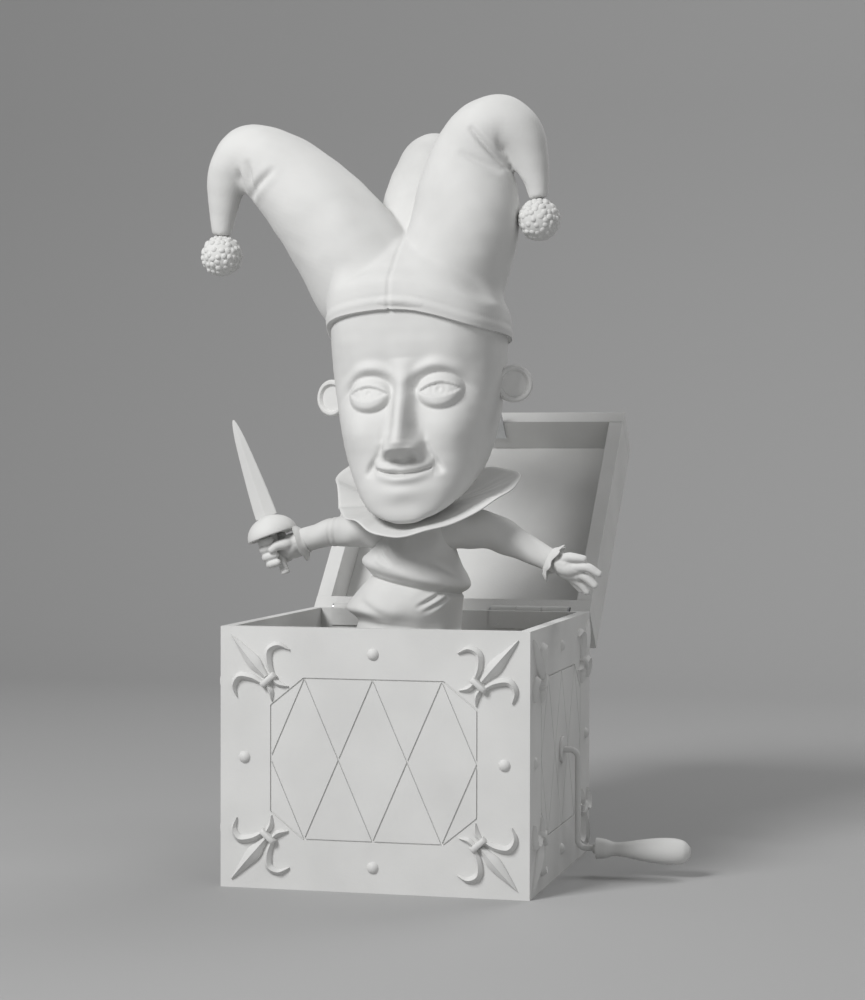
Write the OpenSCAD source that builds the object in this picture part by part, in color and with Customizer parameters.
// Jack in the box: a crank-driven wooden box whose lid has sprung open, with the
// spring-mounted jester standing out of it. The origin is the centre of the box's
// underside, +Z is up, -Y is the front and the crank is on the +X side.

/* [Box] */
// Width of the box, left to right
box_w = 150; // [130:1:180]
// Depth of the box, front to back
box_d = 153; // [135:1:180]
// Height of the box without its lid
box_h = 124; // [118:1:150]
// Thickness of the box walls
wall_t = 5.5; // [4.5:0.5:8]
// Thickness of the floor board
floor_t = 6; // [4:0.5:10]

/* [Lid] */
// Outer depth of the lid
lid_h = 28.7; // [22:0.1:36]
// Thickness of the lid rails
rail_t = 8; // [6:0.5:11]
// Thickness of the board between the rails
lid_board_t = 8; // [4:0.5:10]
// Angle that the lid stands open, from closed
lid_open = 136; // [100:1:150]

/* [Hinges] */
// Length of each butt hinge
hinge_len = 41; // [30:1:50]
// Distance of each hinge from the middle
hinge_x = 43; // [32:1:48]
// Radius of the hinge knuckles
knuckle_r = 2.4; // [2:0.1:3]
// Radius of the hinge pins
hinge_pin_r = 1.2; // [0.9:0.1:1.4]
// Thickness of the hinge leaves
leaf_t = 0.9; // [0.7:0.1:1.2]
// Depth of the box leaf down the inside of the back wall
leaf_drop = 9; // [7:0.5:12]

/* [Panel ornament] */
// Width of the engraved octagon
octagon_w = 100; // [90:1:104]
// Height of the engraved octagon
octagon_h = 76; // [66:1:80]
// Width that each corner of the octagon is cut back
octagon_cut_w = 16; // [10:1:20]
// Height that each corner of the octagon is cut back
octagon_cut_h = 13; // [8:1:18]
// Side by side diamonds inside the octagon
diamond_count = 3; // [2:1:5]
// Width of an engraved line
groove_w = 0.7; // [0.4:0.1:1.2]
// Depth of an engraved line
groove_d = 0.6; // [0.3:0.1:1.2]
// Radius of the dome nail heads
nail_r = 2.9; // [2:0.1:4]
// Height of the dome nail heads
nail_dome = 1.8; // [1:0.1:2.4]
// Distance of the dome nails from the panel's edges
nail_inset = 12; // [8:0.5:14]

/* [Corner mounts] */
// Distance of a mount's knot from the panel's side edge
knot_in_x = 24; // [22:1:30]
// Distance of a mount's knot from the panel's top or bottom edge
knot_in_z = 25; // [23:1:30]
// Length of a mount's spear
spear_len = 28; // [20:1:30]
// Reach of a mount's side petals
petal_reach = 17; // [13:0.5:19]
// Height of a mount above the panel
mount_relief = 3.8; // [2.5:0.1:4.5]

/* [Crank] */
// Radius of the crank rod
rod_r = 1.5; // [1.2:0.1:2]
// Height of the crank shaft above the ground
crank_z = 61; // [56:1:66]
// Throw of the crank
crank_throw = 48; // [40:1:50]
// Gap between the box and the crank arm's centre line
arm_out = 8.3; // [7:0.1:12]
// Bend radius of the rod
bend_r = 4; // [3:0.1:6]
// Length of the turned grip
grip_len = 46.5; // [36:0.5:55]
// Fattest radius of the grip
grip_r = 6.45; // [5:0.05:8]

/* [Music movement] */
// Gear module
gear_m = 0.8; // [0.7:0.05:0.85]
// Teeth on the crank pinion
pinion_teeth = 14; // [12:1:16]
// Teeth on the drum gear
drum_teeth = 42; // [36:1:44]
// Width of the gears
gear_w = 3; // [2:0.5:4]
// Radius of the pinned drum
drum_r = 9; // [7:0.5:10]
// Length of the pinned drum
drum_len = 13; // [9:0.5:14]
// Comb teeth, and rows of drum pins
comb_teeth = 10; // [6:1:12]
// Radius of the drum axle
axle_r = 1.5; // [1.2:0.1:2]
// Thickness of the movement's sheet-metal frame
frame_t = 1.5; // [1:0.1:2]

/* [Catch] */
// Radius of the catch's rock shaft
rock_r = 1.5; // [1.2:0.1:2]
// Height of the rock shaft
rock_z = 82; // [78:1:88]
// Thickness of the catch's plates
plate_t = 1.2; // [1:0.1:2]

/* [Spring and figure] */
// Mean radius of the main spring
spring_r = 12; // [10:0.5:13]
// Radius of the spring wire
wire_r = 1.1; // [0.8:0.1:1.4]
// Turns of the main spring
spring_turns = 9; // [6:1:12]
// Height of the plate that the figure stands on
plate_z = 152; // [146:1:156]
// Sideways tilt of the head
head_roll = 3.5; // [0:0.5:6]
// Height of the head's neck pivot
neck_z = 186; // [184:1:190]

/* [Fits] */
// Gap round a turning shaft
run_gap = 0.05; // [0.03:0.01:0.1]
// Gap round a piece that is pressed or screwed home
push_gap = 0.02; // [0.01:0.01:0.05]
// Gap between moving pieces that pass each other
pass_gap = 0.3; // [0.2:0.05:0.6]
// Gap round the soft pieces
soft_gap = 0.4; // [0.3:0.1:0.8]

/* [Hidden] */
$fn = 48;

in_w = box_w / 2 - wall_t;
in_d = box_d / 2 - wall_t;
rail_in_x = box_w / 2 - rail_t;
rail_in_y = box_d / 2 - rail_t;
hinge_y = box_d / 2;
hinge_z = box_h;
octagon_z = box_h / 2;
screw_r = 0.9;
screw_head_r = 1.7;
screw_head_h = 0.6;
screw_len = 4;
knuckle_len = hinge_len / 3;
bush_r = 4;
bush_flange_r = 6.5;
bush_flange_t = 1.2;
grip_z = crank_z - crank_throw;
arm_x = box_w / 2 + arm_out;
grip_x = arm_x + bend_r + 5.2;
pinion_pr = gear_m * pinion_teeth / 2;
drum_pr = gear_m * drum_teeth / 2;
drum_y = pinion_pr + drum_pr + 0.1;
frame_x = in_w;
frame_in_x = in_w - 24;
gear_x = in_w - 4 - gear_w;
drum_x = frame_in_x + frame_t + 1.5;
drum_pin_h = 0.8;
frame_z0 = crank_z - drum_pr - 2.6;
frame_z1 = crank_z + drum_pr + 2;
frame_y0 = -12;
frame_y1 = drum_y + drum_r + 19;
comb_y = drum_y + drum_r + drum_pin_h + pass_gap;
comb_t = 1;
comb_back = 7;
rock_y = -in_d + 9;
hook_z = box_h - 9;
finger_x = frame_in_x - 3.4;

// ---------------------------------------------------------------- helpers

// Closed skin through rings that turn anticlockwise about their direction of travel
module skin(rings) {
  n = len(rings[0]);
  last = (len(rings) - 1) * n;
  sides = [
    for (i = [0 : len(rings) - 2], j = [0 : n - 1])
      let (a = i * n + j, b = i * n + (j + 1) % n)
        each [[a, a + n, b + n], [a, b + n, b]]
  ];
  start = [for (j = [0 : n - 1]) j];
  end = [for (j = [n - 1 : -1 : 0]) last + j];
  polyhedron([for (r = rings) each r], concat(sides, [start, end]));
}

// Sine and cosine pulled towards a square: 2 is round, more is boxier
function boxy(v, e) = sign(v) * pow(abs(v), 2 / e);

// Smooth curve through the rows of a table, at t counted in rows
function smooth(p, t) =
  let (
    n = len(p) - 1,
    i = min(floor(t), n - 1),
    f = t - i,
    a = p[max(i - 1, 0)],
    b = p[i],
    c = p[i + 1],
    d = p[min(i + 2, n)]
  )
  0.5 * (2 * b + (c - a) * f + (2 * a - 5 * b + 4 * c - d) * f * f
    + (3 * b - a - 3 * c + d) * f * f * f);

// Rings of sides points square to a path whose rows are x, y, z, half width, half depth
function tube_rings(rows, side, steps, sides, e = 2) =
  let (n = len(rows) - 1)
  [
    for (k = [0 : n * steps])
      let (
        t = k / steps,
        s = smooth(rows, t),
        q0 = smooth(rows, max(t - 0.05, 0)),
        q1 = smooth(rows, min(t + 0.05, n)),
        d = [q1[0] - q0[0], q1[1] - q0[1], q1[2] - q0[2]],
        dir = d / norm(d),
        u0 = side - (side * dir) * dir,
        u = u0 / norm(u0),
        v = cross(dir, u)
      )
      [
        for (j = [0 : sides - 1])
          [s[0], s[1], s[2]]
            + u * s[4] * boxy(cos(360 * j / sides), e)
            + v * s[3] * boxy(sin(360 * j / sides), e)
      ]
  ];

// Turns a piece drawn on a shut lid to the open lid's place
module on_open_lid() {
  translate([0, hinge_y, hinge_z])
    rotate([-lid_open, 0, 0])
      translate([0, -hinge_y, -hinge_z])
        children();
}

// A bar along +X, starting at a place
module rod_x(x0, x1, y, z, r) {
  translate([x0, y, z])
    rotate([0, 90, 0])
      cylinder(r = r, h = x1 - x0);
}

// Puts a shape drawn on the front panel's face on side 0 front, 1 right, 2 back or 3 left
module on_side(i) {
  reach = (i % 2 == 0) ? box_d / 2 : box_w / 2;
  rotate([0, 0, 90 * i])
    translate([0, -reach, 0])
      rotate([90, 0, 0])
        children();
}

// Outer width of side i
function side_w(i) = (i % 2 == 0) ? box_w : box_d;

// ---------------------------------------------------------------- ornament

// One engraved line on a panel's face, as the cutter that makes it
module groove(p, q) {
  d = q - p;
  translate([p[0], p[1], -groove_d])
    rotate([0, 0, atan2(d[1], d[0])])
      translate([0, -groove_w / 2, 0])
        cube([norm(d), groove_w, groove_d + 1]);
}

// The octagon and its row of diamonds
module ornament_cutter() {
  hx = octagon_w / 2;
  hz = octagon_h / 2;
  corner = [
    [hx - octagon_cut_w, hz], [-hx + octagon_cut_w, hz], [-hx, hz - octagon_cut_h],
    [-hx, -hz + octagon_cut_h], [-hx + octagon_cut_w, -hz], [hx - octagon_cut_w, -hz],
    [hx, -hz + octagon_cut_h], [hx, hz - octagon_cut_h]
  ];
  pitch = octagon_w / diamond_count;
  translate([0, octagon_z, 0]) {
    for (i = [0 : 7])
      groove(corner[i], corner[(i + 1) % 8]);
    for (k = [0 : diamond_count - 1]) {
      mid = -hx + (k + 0.5) * pitch;
      for (sx = [-1, 1], sz = [-1, 1])
        groove([mid, sz * hz], [mid + sx * pitch / 2, 0]);
    }
  }
}

// Places of the dome nails on side i
function nail_spots(i) = [
  [0, box_h - nail_inset], [0, nail_inset],
  [-side_w(i) / 2 + nail_inset, octagon_z], [side_w(i) / 2 - nail_inset, octagon_z]
];

// Holes for the shanks of side i's dome nails
module nail_holes(i) {
  for (p = nail_spots(i))
    translate([p[0], p[1], -screw_len - push_gap])
      cylinder(r = screw_r + push_gap, h = screw_len + 1);
}

module dome_nails() {
  cap_r = (nail_r * nail_r + nail_dome * nail_dome) / (2 * nail_dome);
  color("white")
    for (i = [0 : 3])
      on_side(i)
        for (p = nail_spots(i))
          translate([p[0], p[1], 0]) {
            intersection() {
              translate([0, 0, nail_dome - cap_r])
                sphere(r = cap_r);
              cylinder(r = nail_r + 1, h = nail_dome + 1);
            }
            translate([0, 0, -screw_len])
              cylinder(r = screw_r, h = screw_len);
          }
}

// Outline of one leaf out along its right edge and back along its left, from rows of
// along, across and half width; the first two are shares of long and side s mirrors it
function leaf_outline(rows, long, s, thin, steps) =
  let (
    n = (len(rows) - 1) * steps,
    at = [for (k = [0 : n]) let (p = smooth(rows, k / steps)) [p[0] * long, s * p[1] * long]],
    half = [for (k = [0 : n]) thin * smooth(rows, k / steps)[2]],
    out = [
      for (k = [0 : n])
        let (d = at[min(k + 1, n)] - at[max(k - 1, 0)])
          [d[1], -d[0]] / norm(d) * half[k]
    ]
  )
  concat([for (k = [0 : n]) at[k] + out[k]], [for (k = [n : -1 : 0]) at[k] - out[k]]);

// Outline of a fleur-de-lis: its knot at the origin and its spear along +X
function fleur_outline(thin) =
  let (
    spear = [[0.07, 0, 1.3], [0.2, 0, 2], [0.4, 0, 3.4], [0.7, 0, 2], [1, 0, 0.15]],
    petal = [[0.05, 0.19, 1.1], [0.36, 0.32, 1.6], [0.62, 0.57, 1.8], [0.54, 0.87, 1.4],
      [0.24, 1.02, 0.2]],
    spur = [[-0.08, 0.12, 1.2], [-0.28, 0.16, 1.4], [-0.5, 0.32, 0.2]]
  )
  concat(
    leaf_outline(spear, spear_len, 1, thin, 3),
    leaf_outline(petal, petal_reach, 1, thin, 3),
    leaf_outline(spur, petal_reach, 1, thin, 2),
    leaf_outline(spur, petal_reach, -1, thin, 2),
    leaf_outline(petal, petal_reach, -1, thin, 3)
  );

// A cast mount in two steps with a band round its waist
module fleur_de_lis() {
  step_z = 0.5 * mount_relief;
  band_half = 4.4;
  linear_extrude(step_z)
    polygon(fleur_outline(1));
  translate([0, 0, step_z])
    linear_extrude(0.32 * mount_relief)
      polygon(fleur_outline(0.5));
  translate([-1.5, -band_half, 0])
    cube([3, 2 * band_half, mount_relief]);
}

// Four mounts, one at each corner of side i
module corner_mounts(i) {
  kx = side_w(i) / 2 - knot_in_x;
  kz = box_h / 2 - knot_in_z;
  color("white")
    on_side(i)
      for (sx = [-1, 1], sz = [-1, 1])
        translate([sx * kx, octagon_z + sz * kz, 0])
          rotate([0, 0, atan2(sz * (knot_in_z - 4), sx * (knot_in_x - 5.5))])
            fleur_de_lis();
}

module front_corner_mounts() { corner_mounts(0); }
module right_corner_mounts() { corner_mounts(1); }
module back_corner_mounts() { corner_mounts(2); }
module left_corner_mounts() { corner_mounts(3); }

// ---------------------------------------------------------------- box

module floor_board() {
  color("white")
    translate([-in_w, -in_d, 0])
      cube([2 * in_w, 2 * in_d, floor_t]);
}

// A plain wall board of side i, engraved and bored for its nails
module wall_board(i, w) {
  difference() {
    on_side(i)
      translate([-w / 2, 0, -wall_t])
        cube([w, box_h, wall_t]);
    on_side(i) {
      ornament_cutter();
      nail_holes(i);
    }
  }
}

module front_panel() {
  color("white") wall_board(0, box_w);
}

module left_panel() {
  color("white") wall_board(3, 2 * in_d);
}

module right_panel() {
  color("white")
    difference() {
      wall_board(1, 2 * in_d);
      rod_x(in_w - 1, box_w / 2 + 1, 0, crank_z, bush_r + push_gap);
    }
}

module back_panel() {
  color("white")
    difference() {
      wall_board(2, box_w);
      hinge_recess(-1);
      for (p = box_screw_spots())
        translate([p[0], in_d - 1, p[1]])
          rotate([-90, 0, 0])
            cylinder(r = screw_r + push_gap, h = screw_len + 1);
    }
}

// ---------------------------------------------------------------- hinges

// Places of the screws in the box leaves: x and z
function box_screw_spots() = [
  for (s = [-1, 1], k = [-1, 0, 1])
    [s * hinge_x + k * hinge_len * 0.36, box_h - leaf_drop * 0.6]
];

// Places of the screws in the lid leaves: x and y, on the shut lid
function lid_screw_spots() = [
  for (s = [-1, 1], k = [-1, 0, 1])
    [s * hinge_x + k * hinge_len * 0.36, rail_in_y + 2.4]
];

// Room for the knuckles and one leaf; up is -1 for the box leaf and 1 for the lid leaf
module hinge_recess(up) {
  for (s = [-1, 1])
    translate([s * hinge_x - hinge_len / 2 - push_gap, 0, 0]) {
      rod_x(-1.2, hinge_len + 1.2, hinge_y, hinge_z, knuckle_r + pass_gap);
      translate([0, in_d - leaf_t - 3, up < 0 ? box_h - leaf_t - push_gap : box_h - 1])
        cube([hinge_len + 2 * push_gap, wall_t + leaf_t + 4,
          leaf_t + push_gap + 1]);
    }
}

// Knuckles k of a hinge, counted 0 to 2 from its left end
module knuckles(list, r, spare) {
  for (s = [-1, 1], k = list)
    let (x = s * hinge_x - hinge_len / 2 + k * knuckle_len)
      rod_x(x + 0.1 - spare, x + knuckle_len - 0.1 + spare, hinge_y, hinge_z, r);
}

module box_hinge_leaves() {
  color("white")
    difference() {
      union() {
        difference() {
          for (s = [-1, 1])
            translate([s * hinge_x - hinge_len / 2, 0, 0]) {
              translate([0, in_d - leaf_t, box_h - leaf_t])
                cube([hinge_len, hinge_y - in_d + leaf_t, leaf_t - push_gap]);
              translate([0, in_d - leaf_t, box_h - leaf_drop])
                cube([hinge_len, leaf_t, leaf_drop - push_gap]);
            }
          knuckles([1], knuckle_r + pass_gap, 0.2);
        }
        knuckles([0, 2], knuckle_r, 0);
      }
      knuckles([-1, 0, 1, 2, 3], hinge_pin_r + run_gap, 0.2);
      for (p = box_screw_spots())
        translate([p[0], in_d - leaf_t - 1, p[1]])
          rotate([-90, 0, 0]) {
            cylinder(r = screw_r + push_gap, h = leaf_t + 2);
            cylinder(r = screw_head_r + push_gap, h = 1 + screw_head_h);
          }
    }
}

module lid_hinge_leaves() {
  color("white")
    on_open_lid()
      difference() {
        union() {
          difference() {
            for (s = [-1, 1])
              translate([s * hinge_x - hinge_len / 2, rail_in_y, box_h + push_gap])
                cube([hinge_len, rail_t, leaf_t - push_gap]);
            knuckles([0, 2], knuckle_r + pass_gap, 0.2);
          }
          knuckles([1], knuckle_r, 0);
        }
        knuckles([0, 1, 2], hinge_pin_r + run_gap, 0.2);
        for (p = lid_screw_spots())
          translate([p[0], p[1], box_h - 1]) {
            cylinder(r = screw_r + push_gap, h = leaf_t + 2);
            cylinder(r = screw_head_r + push_gap, h = 1 + screw_head_h + 2 * push_gap);
          }
      }
}

module hinge_pins() {
  head = 0.8;
  color("silver")
    for (s = [-1, 1])
      let (x0 = s * hinge_x - hinge_len / 2, x1 = x0 + hinge_len) {
        rod_x(x0 + 0.1 - head, x1 - 0.1 + head, hinge_y, hinge_z, hinge_pin_r);
        for (x = [x0 + 0.1 - head, x1 - 0.1])
          rod_x(x, x + head, hinge_y, hinge_z, hinge_pin_r + 0.8);
      }
}

// A flat-headed screw: its head's top at the origin, its shank along +Z
module screw() {
  cylinder(r = screw_head_r, h = screw_head_h);
  cylinder(r = screw_r, h = screw_len);
}

module hinge_screws() {
  color("silver")
    for (p = box_screw_spots())
      translate([p[0], in_d - leaf_t, p[1]])
        rotate([-90, 0, 0])
          screw();
}

module lid_hinge_screws() {
  color("silver")
    on_open_lid()
      for (p = lid_screw_spots())
        translate([p[0], p[1], box_h + push_gap])
          screw();
}

// ---------------------------------------------------------------- lid

// One lid rail, drawn shut, with its corner at a place
module rail(corner, size) {
  color("white")
    on_open_lid()
      translate(corner)
        cube(size);
}

module lid_front_rail() {
  rail([-box_w / 2, -box_d / 2, box_h], [box_w, rail_t, lid_h]);
}

module lid_back_rail() {
  color("white")
    on_open_lid()
      difference() {
        translate([-box_w / 2, rail_in_y, box_h])
          cube([box_w, rail_t, lid_h]);
        hinge_recess(1);
        for (p = lid_screw_spots())
          translate([p[0], p[1], box_h])
            cylinder(r = screw_r + push_gap, h = screw_len + 1);
      }
}

module lid_left_rail() {
  rail([-box_w / 2, -rail_in_y, box_h], [rail_t, 2 * rail_in_y, lid_h]);
}

module lid_right_rail() {
  rail([rail_in_x, -rail_in_y, box_h], [rail_t, 2 * rail_in_y, lid_h]);
}

module lid_board() {
  rail([-rail_in_x, -rail_in_y, box_h + lid_h - lid_board_t],
    [2 * rail_in_x, 2 * rail_in_y, lid_board_t]);
}

// The plate on the front rail whose window the catch's nose enters
module lid_strike() {
  hang = 15;
  color("silver")
    on_open_lid()
      difference() {
        translate([-6, -rail_in_y, box_h - hang])
          cube([12, plate_t, hang + 12]);
        translate([-3.5, -rail_in_y - 1, hook_z - 3])
          cube([7, plate_t + 2, 6]);
      }
}

// ---------------------------------------------------------------- crank

module crank_bush() {
  color("silver")
    difference() {
      union() {
        rod_x(in_w - 0.5, box_w / 2, 0, crank_z, bush_r);
        rod_x(box_w / 2, box_w / 2 + bush_flange_t, 0, crank_z, bush_flange_r);
      }
      rod_x(in_w - 1, box_w / 2 + 2, 0, crank_z, rod_r + run_gap);
    }
}

// A quarter bend of the rod in the XZ plane, about a centre, from a starting angle
module rod_bend(x, z, from) {
  translate([x, 0, z])
    rotate([90, 0, 0])
      rotate([0, 0, from])
        rotate_extrude(angle = 90)
          translate([bend_r, 0])
            circle(r = rod_r);
}

// One bent rod: shaft, arm and the spindle that the grip turns on
module crank_rod() {
  color("silver") {
    rod_x(frame_in_x - 1, arm_x - bend_r, 0, crank_z, rod_r);
    rod_bend(arm_x - bend_r, crank_z - bend_r, 0);
    translate([arm_x, 0, grip_z + bend_r])
      cylinder(r = rod_r, h = crank_throw - 2 * bend_r);
    rod_bend(arm_x + bend_r, grip_z + bend_r, 180);
    rod_x(arm_x + bend_r, grip_x + grip_len * 0.8, 0, grip_z, rod_r);
    rod_x(grip_x - 1.2, grip_x - pass_gap, 0, grip_z, rod_r + 1.2);
  }
}

// Turned grip: flange, waist, swelling belly and rounded end
module crank_grip() {
  side = [[0, 0.8], [0.02, 0.8], [0.1, 0.72], [0.2, 0.52], [0.34, 0.62], [0.48, 0.8],
    [0.64, 0.95], [0.76, 1], [0.86, 0.95], [0.94, 0.76], [0.99, 0.36]];
  steps = 3;
  outline = [
    for (k = [0 : (len(side) - 1) * steps])
      let (s = smooth(side, k / steps))
        [s[1] * grip_r, s[0] * grip_len]
  ];
  color("white")
    translate([grip_x, 0, grip_z])
      rotate([0, 90, 0])
        difference() {
          rotate_extrude()
            polygon(concat([[0, 0]], outline, [[0, grip_len]]));
          translate([0, 0, -1])
            cylinder(r = rod_r + run_gap, h = grip_len * 0.8 + 1.5);
        }
}

// ---------------------------------------------------------------- music movement

// Involute flank point of a base circle, at an unrolling angle in degrees
function involute(rb, a) = rb * [
  cos(a) + a * PI / 180 * sin(a), sin(a) - a * PI / 180 * cos(a)
];

// Turns a flat point by an angle
function spun(p, a) = [p[0] * cos(a) - p[1] * sin(a), p[0] * sin(a) + p[1] * cos(a)];

// Outline of an involute spur gear, thinned by some backlash
function gear_outline(teeth, backlash) =
  let (
    pr = gear_m * teeth / 2,
    rb = pr * cos(20),
    ro = pr + gear_m,
    rr = pr - 1.25 * gear_m,
    top = acos(rb / ro),
    a1 = tan(top) * 180 / PI,
    a0 = rr > rb ? sqrt(rr * rr / (rb * rb) - 1) * 180 / PI : 0,
    half = 90 / teeth + tan(20) * 180 / PI - 20 - backlash / pr * 90 / PI
  )
  [
    for (i = [0 : teeth - 1])
      let (mid = 360 * i / teeth)
        each concat(
          [spun([rr, 0], mid - 180 / teeth * 0.82)],
          [for (k = [0 : 4]) let (p = involute(rb, a0 + (a1 - a0) * k / 4)) spun(p, mid - half)],
          [for (k = [4 : -1 : 0]) let (p = involute(rb, a0 + (a1 - a0) * k / 4))
            spun([p[0], -p[1]], mid + half)],
          [spun([rr, 0], mid + 180 / teeth * 0.82)]
        )
  ];

// A gear on the line y, z with its bore, turned by an angle
module gear(teeth, y, turn, bore) {
  translate([gear_x, y, crank_z])
    rotate([90, 0, 90])
      difference() {
        linear_extrude(gear_w)
          rotate(turn)
            polygon(gear_outline(teeth, 0.1));
        translate([0, 0, -1])
          cylinder(r = bore, h = gear_w + 2);
      }
}

module crank_pinion() {
  color("goldenrod") gear(pinion_teeth, 0, 0, rod_r + push_gap);
}

module drum_gear() {
  color("goldenrod") gear(drum_teeth, drum_y, 180 + 180 / drum_teeth, axle_r + push_gap);
}

module drum_axle() {
  color("silver") {
    rod_x(finger_x - 3, in_w - 0.2, drum_y, crank_z, axle_r);
    trip_lug();
  }
}

// The arm on the end of the drum axle that trips the catch once a turn
module trip_lug() {
  translate([finger_x - 1.5, drum_y, crank_z])
    rotate([0, 90, 0])
      union() {
        cylinder(r = axle_r + 1.4, h = 2.5);
        translate([-7, -1.6, 0])
          cube([7, 3.2, 2.5]);
        translate([-7, 0, 0])
          cylinder(r = 1.6, h = 2.5);
      }
}

// The drum and its playing pins, set in rows that step round it
module music_drum() {
  pitch = drum_len / comb_teeth;
  pins = 7;
  color("goldenrod")
    difference() {
      union() {
        rod_x(drum_x, drum_x + drum_len, drum_y, crank_z, drum_r);
        for (k = [0 : comb_teeth - 1], j = [0 : pins - 1])
          translate([drum_x + (k + 0.5) * pitch, drum_y, crank_z])
            rotate([j * 360 / pins + k * (j % 3 + 11) + 20, 0, 0])
              translate([0, 0, drum_r - 0.5])
                cylinder(r = 0.3, h = drum_pin_h + 0.5);
      }
      rod_x(drum_x - 1, drum_x + drum_len + 1, drum_y, crank_z, axle_r + push_gap);
    }
}

// Folded sheet frame: a plate on the wall, a floor and an inner plate
module movement_frame() {
  depth = frame_x - frame_in_x;
  color("silver")
    difference() {
      translate([frame_in_x, frame_y0, frame_z0])
        difference() {
          cube([depth, frame_y1 - frame_y0, frame_z1 - frame_z0]);
          translate([frame_t, -1, frame_t])
            cube([depth - 2 * frame_t, frame_y1 - frame_y0 + 2, frame_z1 - frame_z0]);
        }
      rod_x(frame_in_x - 1, frame_in_x + frame_t + 1, 0, crank_z, rod_r + run_gap);
      rod_x(in_w - frame_t - 1, in_w + 1, 0, crank_z, bush_r + push_gap);
      rod_x(frame_in_x - 1, frame_in_x + frame_t + 1, drum_y, crank_z, axle_r + run_gap);
      rod_x(in_w - frame_t - 1, in_w + 1, drum_y, crank_z, axle_r + run_gap);
    }
}

module comb_block() {
  z0 = frame_z0 + frame_t;
  color("silver")
    translate([drum_x, comb_y + comb_back, z0])
      cube([drum_len, comb_back, crank_z - comb_t / 2 - z0]);
}

// Steel comb: a slotted plate whose teeth end just short of the drum's pins
module music_comb() {
  pitch = drum_len / comb_teeth;
  slot = 0.35;
  color("silver")
    translate([drum_x, comb_y, crank_z - comb_t / 2])
      difference() {
        cube([drum_len, 2 * comb_back, comb_t]);
        for (k = [1 : comb_teeth - 1])
          translate([k * pitch - slot / 2, -1, -1])
            cube([slot, comb_back * (0.55 + 0.4 * k / comb_teeth) + 1, comb_t + 2]);
        translate([-1, -1, comb_t * 0.6])
          cube([drum_len + 2, comb_back * 0.5 + 1, comb_t]);
      }
}

// ---------------------------------------------------------------- catch

// Rock shaft with the hook at its middle and the finger that the lug pushes down
module catch_lever() {
  tip_y = drum_y - 8.6 - pass_gap;
  nose_y = -rail_in_y - 1 - rock_y;
  nose_z = hook_z - rock_z;
  color("silver") {
    rod_x(-10, finger_x + 1.2, rock_y, rock_z, rock_r);
    translate([-1.5, rock_y, rock_z])
      rotate([90, 0, 90])
        linear_extrude(3)
          union() {
            circle(r = rock_r + 1.6);
            polygon([[-2, 0], [2, 0], [1.4, nose_z + 2], [-2.6, nose_z + 2], [nose_y, nose_z],
              [nose_y, nose_z - 2], [-2.6, nose_z - 2]]);
          }
    translate([finger_x - 1.2, rock_y, rock_z])
      rotate([90, 0, 90])
        linear_extrude(2.4)
          union() {
            circle(r = rock_r + 1.6);
            polygon([[0, -1.8], [tip_y - rock_y - 1.5, crank_z - rock_z - 1.2],
              [tip_y - rock_y, crank_z - rock_z], [tip_y - rock_y - 1.5, crank_z - rock_z + 1.2],
              [0, 1.8]]);
          }
  }
}

// Ear plates on a wall foot that carry the rock shaft; ears lists their left faces
module shaft_bracket(x0, x1, ears) {
  high = 12;
  color("silver")
    difference() {
      union() {
        translate([x0, -in_d, rock_z - high / 2])
          cube([x1 - x0, plate_t, high]);
        for (x = ears)
          translate([x, -in_d, rock_z - high / 2])
            cube([plate_t, rock_y + in_d + rock_r + 2, high]);
      }
      rod_x(x0 - 1, x1 + 1, rock_y, rock_z, rock_r + run_gap);
    }
}

module catch_bracket() {
  shaft_bracket(-8, 8, [-8, 8 - plate_t]);
}

module rock_shaft_bracket() {
  x1 = finger_x - 8;
  shaft_bracket(x1 - 10, x1, [x1 - plate_t]);
}

// ---------------------------------------------------------------- spring and stand

seat_t = 4;
seat_z = floor_t + seat_t;
plate_h = 3;
block_z0 = plate_z + plate_h;
block_z1 = neck_z - 10;
block_r = 14;
neck_x = 4;
dowel_r = 5;
dowel_top = neck_z + 12;
shoulder_x = 10;
shoulder_z = neck_z - 18.5;
shoulder_pin_r = 1.2;
eye_r = 3;
eye_h = 5;
wire_arm_r = 1.3;
left_wrist = [-66, 0, neck_z - 25.5];
right_wrist = [76, 0, neck_z - 34.6];

module spring_seat() {
  color("white")
    translate([0, 0, floor_t]) {
      cylinder(r = spring_r + wire_r + 8, h = seat_t);
      cylinder(r = spring_r - wire_r - pass_gap, h = seat_t + 4);
    }
}

// A round wire through points, each ring turned to face along the wire
module wire_coil(r, turns, z0, z1, wire, around, sides) {
  steps = turns * around;
  rise = (z1 - z0) / (360 * turns);
  slope = atan(rise * 180 / PI / r);
  skin([
    for (k = [0 : steps])
      let (a = 360 * k / around, out = [cos(a), sin(a), 0], z = z0 + (z1 - z0) * k / steps,
        up = [sin(a) * sin(slope), -cos(a) * sin(slope), cos(slope)])
      [
        for (j = [0 : sides - 1])
          out * (r + wire * cos(360 * j / sides)) + [0, 0, z]
            - up * wire * sin(360 * j / sides)
      ]
  ]);
}

module main_spring() {
  color("silver")
    wire_coil(spring_r, spring_turns, seat_z + wire_r + push_gap, plate_z - wire_r - push_gap,
      wire_r, 18, 6);
}

module figure_plate() {
  color("white")
    translate([0, 0, plate_z]) {
      cylinder(r = block_r, h = plate_h);
      translate([0, 0, -4])
        cylinder(r = spring_r - wire_r - pass_gap, h = 4);
    }
}

// Places of the two shoulders: the side, then the wrist that its arm wire ends at
function shoulders() = [[-1, left_wrist], [1, right_wrist]];

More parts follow.
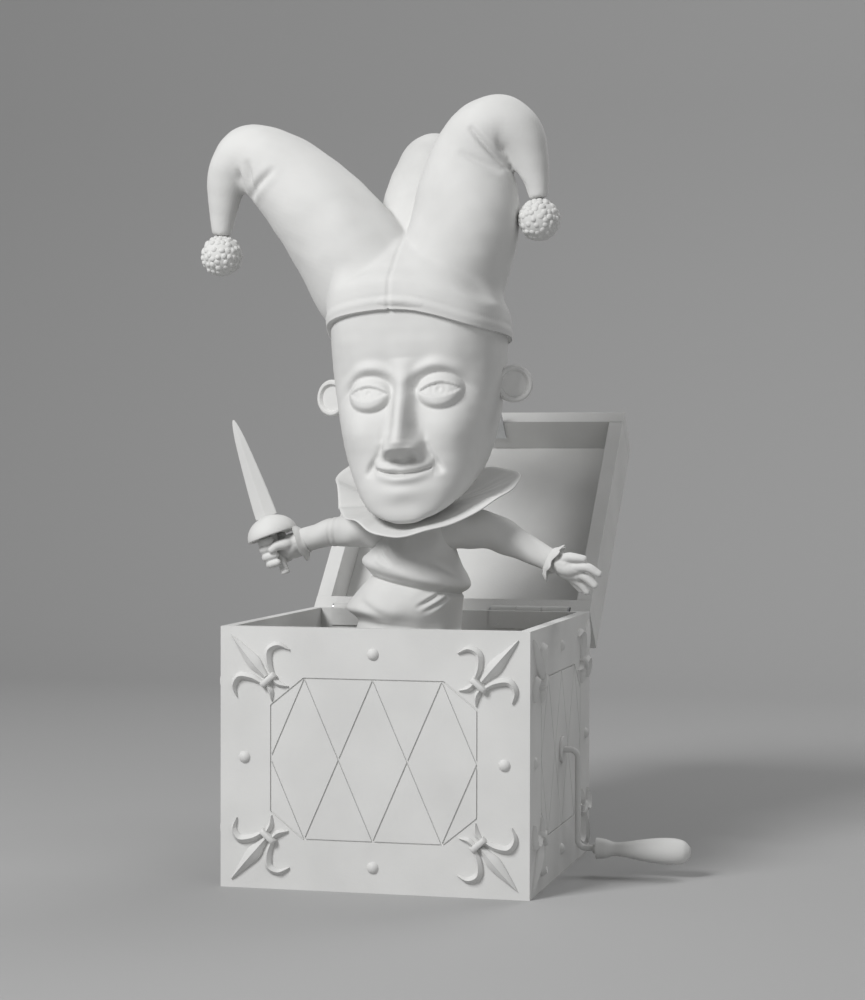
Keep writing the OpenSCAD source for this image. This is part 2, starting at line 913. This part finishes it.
// Turned block with a slot and a pin at each shoulder
module shoulder_block() {
  color("white") {
    difference() {
      translate([0, 0, block_z0])
        cylinder(r = block_r, h = block_z1 - block_z0);
      for (s = shoulders()) {
        translate([s[0] * shoulder_x, 0, shoulder_z]) {
          cylinder(r = shoulder_pin_r + push_gap, h = block_z1);
          translate([0, 0, -eye_h])
            cylinder(r = shoulder_pin_r + push_gap, h = block_z1);
          cylinder(r = eye_r + pass_gap, h = eye_h + 2 * run_gap, center = true);
          translate([s[0] * block_r, 0, 0])
            cube([2 * block_r, 2 * (eye_r + 1.4), eye_h + 2 * run_gap], center = true);
        }
      }
      translate([neck_x, 0, block_z1 - 6])
        cylinder(r = dowel_r + push_gap, h = 7);
    }
    for (s = shoulders())
      translate([s[0] * shoulder_x, 0, shoulder_z - eye_h])
        cylinder(r = shoulder_pin_r, h = block_z1 - shoulder_z + eye_h);
  }
}

module neck_dowel() {
  color("white")
    translate([neck_x, 0, block_z1 - 6])
      cylinder(r = dowel_r, h = dowel_top - block_z1 + 6);
}

// ---------------------------------------------------------------- cloth

// Gathered cloth tube round the spring: rows are height, centre, half width and how far
// the roll at that height slants down to the right
module body_cloth() {
  z1 = block_z0 + 2;
  rows = [
    [seat_z + 0.3, 0, 26, 0], [30, 0, 29, 0], [60, 0, 27, 0], [90, 0, 30, 0],
    [110, -1, 28, 0], [119, -1.5, 26.5, 1], [123, -2, 26, 2], [128.5, -4.5, 28.8, 1],
    [135, -2.5, 26.5, 2], [141.2, 1.8, 23.6, 4.4], [147, 1.5, 26.8, 5.2],
    [152, 0.8, 24.8, 3], [z1, 0, 20.5, 0]
  ];
  sides = 32;
  steps = 2;
  color("white")
    difference() {
      skin([
        for (k = [0 : (len(rows) - 1) * steps])
          let (s = smooth(rows, k / steps))
          [
            for (j = [0 : sides - 1])
              let (a = 360 * j / sides, r = s[2] * (1 + 0.025 * sin(5 * a + 3 * s[0])))
              [s[1] + r * cos(a), r * sin(a), s[0] - s[3] * cos(a)]
          ]
      ]);
      translate([0, 0, seat_z - 4])
        cylinder(r = block_r + soft_gap, h = z1);
    }
}

// Ruff: a bowl of pleats that dips at the front; s runs from its neck to its edge
function ruff_point(s, a, t) =
  let (
    r = dowel_r + pass_gap + s * (42 + 1.5 * cos(3 * a)),
    drop = 13 + 15.5 * sin(a) - 9.5 * sin(a) * sin(a),
    wave = (0.25 + 1.1 * pow(max(-cos(a), 0), 2)) * sin(9 * a) * s
  )
  [neck_x + r * cos(a), r * sin(a), neck_z - 6.5 + drop * pow(s, 1.4) + wave + t];

module ruff() {
  around = 66;
  path = [[0, -1], [0.35, -1], [0.7, -1], [1, -0.8], [1, 0.8], [0.7, 1], [0.35, 1], [0, 1]];
  n = len(path);
  pts = [for (p = path, j = [0 : around - 1]) ruff_point(p[0], 360 * j / around, p[1])];
  color("white")
    polyhedron(pts, [
      for (i = [0 : n - 1], j = [0 : around - 1])
        let (a = i * around + j, b = i * around + (j + 1) % around,
          c = ((i + 1) % n) * around + (j + 1) % around, d = ((i + 1) % n) * around + j)
        each [[a, d, c], [a, c, b]]
    ]);
}

// ---------------------------------------------------------------- head

// Ring of a head or hat: height, centre, half width, front, back, rise along X, rise along Y
function head_ring(s, sides, e_front, e_back) = [
  for (j = [0 : sides - 1])
    let (
      a = 360 * j / sides,
      e = sin(a) < 0 ? e_front : e_back,
      x = s[2] * boxy(cos(a), e),
      y = (sin(a) < 0 ? s[3] : s[4]) * boxy(sin(a), e)
    )
    [s[1] + x, y, s[0] + s[5] * x + s[6] * y]
];

// Height, centre, half width, front and back depth and tilts of the brim
brim = [neck_z + 84.5, 3.5, 42.5, 41, 41.5, -0.08, -0.153];

module head_core() {
  z = neck_z;
  r = head_roll / 57;
  rows = [
    [z + 0.5, 6.3, 12, 43, 8, r, 0.33], [z + 3, 6, 21, 45, 13, r, 0.32],
    [z + 7, 5.8, 27, 45.5, 19, r, 0.28], [z + 15, 5.4, 32, 44.5, 26, r, 0.18],
    [z + 27, 5, 36, 42.5, 33, r, 0.1], [z + 40, 4.6, 38.8, 41, 37.5, r, 0.03],
    [z + 55, 4.1, 41, 39.5, 40, r, 0], [z + 70, 3.7, 42.4, 40.5, 41.5, 0, -0.06], brim
  ];
  steps = 2;
  skin([
    for (k = [0 : (len(rows) - 1) * steps])
      head_ring(smooth(rows, k / steps), 40, 3, 2.3)
  ]);
}

// Carved nose: rows are height, half width and how far it stands forward
module nose() {
  rows = [
    [neck_z + 17, 5, 44], [neck_z + 20, 8, 57], [neck_z + 25, 7.5, 58.5],
    [neck_z + 42, 4.8, 51.5], [neck_z + 58, 3.6, 45], [neck_z + 64, 3.2, 40]
  ];
  skin([
    for (s = rows)
      [
        [neck_x - s[1] - 2, -34, s[0]], [neck_x - s[1], -41, s[0]],
        [neck_x - 1.5, -s[2], s[0]], [neck_x + 1.5, -s[2], s[0]],
        [neck_x + s[1], -41, s[0]], [neck_x + s[1] + 2, -34, s[0]]
      ]
  ]);
}

module head() {
  color("white")
    difference() {
      union() {
        head_core();
        nose();
      }
      translate([neck_x, 0, 0])
        cylinder(r = dowel_r + push_gap, h = dowel_top + push_gap);
    }
}

// Dished disc ear on side s, turned a little outward and seated on the head's side
module ear(s) {
  r = 9.3;
  color("white")
    difference() {
      translate([neck_x + s * 46.3, 2, neck_z + 51.3 + s * 3.4])
        rotate([90, 0, s * 22])
          rotate_extrude()
            polygon([[0, -3], [r - 2.4, -3], [r, -1], [r, 1.6], [r - 1, 2.6],
              [r - 2.2, 2.6], [r - 3.2, 1], [0, 1]]);
      head_core();
    }
}

module left_ear() { ear(-1); }
module right_ear() { ear(1); }

// ---------------------------------------------------------------- hat

pompom_r = 10.5;

// Centre lines of the hat's horns: x, y, z above the neck, half width, half depth
left_horn = [
  [-10, 0, 96, 26, 33], [-30, 0, 118, 27.5, 30.5], [-46, 0, 138, 25.5, 26],
  [-62, 0, 155, 22, 22], [-77, 0, 166.5, 18.4, 18], [-88, 0, 168.5, 16.5, 15],
  [-95, 0, 164, 13, 12], [-98.5, 0, 156, 10, 9.5], [-100, 0, 145, 7.2, 7],
  [-101, 0, 130.7, 4.5, 4.5]
];
right_horn = [
  [14, 0, 97, 29, 34], [21, 0, 114, 27, 31], [25.5, 0, 132, 27, 27],
  [27.3, 0, 150, 25.2, 23.5], [29.5, 0, 166, 20.5, 19.5], [36, 0, 177.5, 17.3, 17],
  [45, 0, 181, 15.5, 15], [53.5, 0, 175.5, 12.8, 12.5], [58.7, 0, 164, 9.3, 9],
  [61.5, 0, 155, 6.6, 6.5], [63, 0, 145.5, 4.5, 4.5]
];
rear_horn = [
  [2, 10, 97, 28, 34], [1, 19, 118, 26, 30], [0, 28, 139, 23, 25],
  [0, 38, 157, 19.5, 21], [0, 48, 167, 16, 16.5], [0, 59, 169, 12.5, 13],
  [0, 67, 163, 9.5, 9.5], [0, 70.5, 153, 6.8, 6.8], [0, 71.5, 141, 4.5, 4.5]
];

module horn(rows, side) {
  translate([0, 0, neck_z])
    skin(tube_rings(rows, side, 2, 24));
}

// The whole hat before it is cut along its seams
module hat_form() {
  rows = [
    brim + [0, 0.1, 1.8, 3.2, 2, 0, 0],
    [neck_z + 97, 3, 40.5, 42, 43, -0.05, -0.1],
    [neck_z + 111, 4, 38, 35, 38, 0, 0],
    [neck_z + 122, 2, 24, 22, 26, 0, 0],
    [neck_z + 128, 0, 8, 8, 10, 0, 0]
  ];
  skin([
    for (k = [0 : (len(rows) - 1) * 3])
      head_ring(smooth(rows, k / 3), 40, 2.2, 2.2)
  ]);
  horn(left_horn, [0, 1, 0]);
  horn(right_horn, [0, 1, 0]);
  horn(rear_horn, [1, 0, 0]);
}

// Bearings of the hat's three seams
front_seam = -83;
right_rear_seam = 62;
left_rear_seam = 120;

// One gore of the hat: the part between two seams, given by their bearings
module gore(from, to) {
  far = 400;
  seam_x = -2;
  span = to - from;
  color("white")
    intersection() {
      hat_form();
      translate([seam_x, 0, neck_z])
        linear_extrude(far)
          polygon(concat([[0, 0]], [for (k = [0 : 4])
            let (a = from + span * k / 4) far * [cos(a), sin(a)]]));
      hat_room();
    }
}

// Space above the brim's plane
module hat_room() {
  multmatrix([
    [1, 0, 0, 0], [0, 1, 0, 0],
    [brim[5], brim[6], 1, brim[0] - brim[5] * brim[1]], [0, 0, 0, 1]
  ])
    translate([-200, -200, 0])
      cube([400, 400, 300]);
}

module hat_left_gore() { gore(left_rear_seam, front_seam + 360); }
module hat_right_gore() { gore(front_seam, right_rear_seam); }
module hat_rear_gore() { gore(right_rear_seam, left_rear_seam); }

module pompoms() {
  color("white")
    for (row = [left_horn, right_horn, rear_horn])
      let (tip = row[len(row) - 1])
        translate([tip[0], tip[1], neck_z + tip[2] - pompom_r - push_gap])
          sphere(r = pompom_r);
}

// ---------------------------------------------------------------- arms

// The straight wire inside an arm, its eye on the shoulder pin
module arm_wire(s) {
  wrist = shoulders()[s < 0 ? 0 : 1][1];
  from = [s * shoulder_x, 0, shoulder_z];
  d = wrist - from;
  difference() {
    union() {
      translate(from)
        cylinder(r = eye_r, h = eye_h, center = true);
      translate(from)
        rotate([0, atan2(d[0], d[2]), 0])
          cylinder(r = wire_arm_r, h = norm(d));
    }
    translate(from)
      cylinder(r = shoulder_pin_r + run_gap, h = eye_h + 2, center = true);
  }
}

// Room for that wire in what it passes through
module wire_room(s) {
  wrist = shoulders()[s < 0 ? 0 : 1][1];
  from = [s * shoulder_x, 0, shoulder_z];
  d = wrist - from;
  translate(from)
    rotate([0, atan2(d[0], d[2]), 0])
      cylinder(r = wire_arm_r + push_gap, h = norm(d) + push_gap);
}

module left_arm_wire() { color("silver") arm_wire(-1); }
module right_arm_wire() { color("silver") arm_wire(1); }

// A tapering soft or carved piece of an arm: rows are x, height above the neck, half
// height and half depth
module arm_piece(s, rows, steps) {
  color("white")
    difference() {
      skin(tube_rings([for (p = rows) [p[0], 0, neck_z + p[1], p[2], p[3]]],
        [0, 1, 0], steps, 20));
      wire_room(s);
    }
}

module left_sleeve() {
  arm_piece(-1, [[-14.9, -18.1, 9.6, 10.5], [-28, -18, 8.8, 9.6], [-42, -19.4, 7.3, 7.5],
    [-52, -21.9, 6.2, 6.2], [-56.1, -22.9, 5.6, 5.6]], 3);
}

module right_sleeve() {
  arm_piece(1, [[14.9, -17.4, 9.7, 10.5], [26, -17, 9.7, 10], [40, -18.2, 9.6, 9],
    [54, -24.8, 7.4, 7], [65.6, -30.4, 5.8, 5.6]], 3);
}

module left_cuff() {
  arm_piece(-1, [[-56.8, -24.2, 6.2, 6.2], [-57.7, -24.4, 7.6, 7.8],
    [-58.8, -24.6, 9.2, 9.4]], 2);
}

module right_cuff() {
  arm_piece(1, [[66.3, -30.8, 6.2, 6.2], [68.8, -32.1, 7.8, 7.8], [71.4, -33.6, 9.6, 9.4]], 2);
}

// The axis of the dagger: its pommel end and its point
pommel = [-66.8, 0, neck_z - 40.3];
dagger_tip = [-95, 0, neck_z + 37.5];
dagger_tilt = atan2(dagger_tip[0] - pommel[0], dagger_tip[2] - pommel[2]);
dagger_len = norm(dagger_tip - pommel);
dagger_grip_r = 2.15;
guard_at = 22.5;
guard_t = 8;
guard_r = 13;

module on_dagger(along) {
  translate(pommel)
    rotate([0, dagger_tilt, 0])
      translate([0, 0, along])
        children();
}

// Fist with a hole for the dagger's grip
module left_hand() {
  color("white")
    difference() {
      skin(tube_rings([for (p = [[-60.6, -25, 5.2, 5.5], [-64.5, -26.6, 7.4, 8],
          [-70, -28, 8, 8.8], [-75.5, -28.2, 6.6, 7.4], [-79, -28.2, 2.6, 3.4]])
        [p[0], 0, neck_z + p[1], p[2], p[3]]], [0, 1, 0], 3, 20));
      wire_room(-1);
      on_dagger(-2)
        cylinder(r = dagger_grip_r + push_gap, h = 40);
    }
}

// Open hand: a flat palm, four fingers that fan out and a thumb
module right_hand() {
  fingers = [[95, -5, -38.8], [92.6, -2, -44.6], [88, 1.2, -47.8], [84.4, 4.4, -46.6]];
  color("white")
    difference() {
      union() {
        skin(tube_rings([for (p = [[73, -34.4, 4.4, 5], [76.4, -34.8, 5.8, 7],
            [80.6, -36.4, 6.4, 7.6], [84.6, -38.4, 4.6, 6.4]])
          [p[0], 0, neck_z + p[1], p[2], p[3]]], [0, 1, 0], 2, 20));
        for (k = [0 : 3])
          let (f = fingers[k], base = [80 - 0.6 * k, -5 + 3.2 * k, -35.6 - 1.8 * k])
            finger(base, f, 2.3);
        finger([76.5, -3.5, -32], [87.2, -7, -31], 2.1);
      }
      wire_room(1);
    }
}

// One finger from its root to its tip, both measured from the neck's height
module finger(root, tip, r) {
  mid = (root + tip) / 2 + [0, 0, 1.4];
  translate([0, 0, neck_z])
    skin(tube_rings([
      [root[0], root[1], root[2], r, r], [mid[0], mid[1], mid[2], r, r],
      [tip[0], tip[1], tip[2], 0.7 * r, 0.7 * r]
    ], [0, 1, 0], 3, 10));
}

module dagger_grip() {
  color("white")
    on_dagger(0)
      rotate_extrude()
        polygon([[0, 0], [2, 0], [3.2, 1], [3.2, 2.6], [dagger_grip_r, 3.6],
          [dagger_grip_r, guard_at], [0, guard_at]]);
}

// Domed guard like a shallow cup over the hand
module dagger_guard() {
  rim = 2.4;
  seat = dagger_grip_r + 0.2;
  steps = 8;
  arc = [for (k = [0 : steps]) 90 * k / steps];
  color("white")
    on_dagger(guard_at)
      rotate_extrude()
        polygon(concat(
          [for (a = arc) [guard_r * sin(a), (guard_t + rim) * cos(a) - rim]],
          [for (k = [steps : -1 : 0])
            [seat + (guard_r - 1.2 - seat) * sin(arc[k]), rim * (cos(arc[k]) - 1)]],
          [[0, 0]]
        ));
}

// Diamond-section blade that tapers to its point
module dagger_blade() {
  from = guard_at + guard_t;
  long = dagger_len - from;
  color("silver")
    on_dagger(from)
      skin([
        for (p = [[0, 5.8], [0.3, 5.2], [0.7, 3.2], [0.92, 1.3], [1, 0.2]])
          [[p[1], 0, p[0] * long], [0, 0.36 * p[1], p[0] * long],
            [-p[1], 0, p[0] * long], [0, -0.36 * p[1], p[0] * long]]
      ]);
}

floor_board();
front_panel();
back_panel();
left_panel();
right_panel();
front_corner_mounts();
back_corner_mounts();
left_corner_mounts();
right_corner_mounts();
dome_nails();
box_hinge_leaves();
lid_hinge_leaves();
hinge_pins();
hinge_screws();
lid_front_rail();
lid_back_rail();
lid_left_rail();
lid_right_rail();
lid_board();
lid_strike();
lid_hinge_screws();
crank_bush();
crank_rod();
crank_pinion();
crank_grip();
movement_frame();
music_drum();
drum_gear();
drum_axle();
comb_block();
music_comb();
catch_lever();
catch_bracket();
rock_shaft_bracket();
spring_seat();
main_spring();
figure_plate();
shoulder_block();
neck_dowel();
body_cloth();
ruff();
head();
left_ear();
right_ear();
hat_left_gore();
hat_right_gore();
hat_rear_gore();
pompoms();
left_sleeve();
right_sleeve();
left_cuff();
right_cuff();
left_arm_wire();
right_arm_wire();
left_hand();
right_hand();
dagger_blade();
dagger_guard();
dagger_grip();
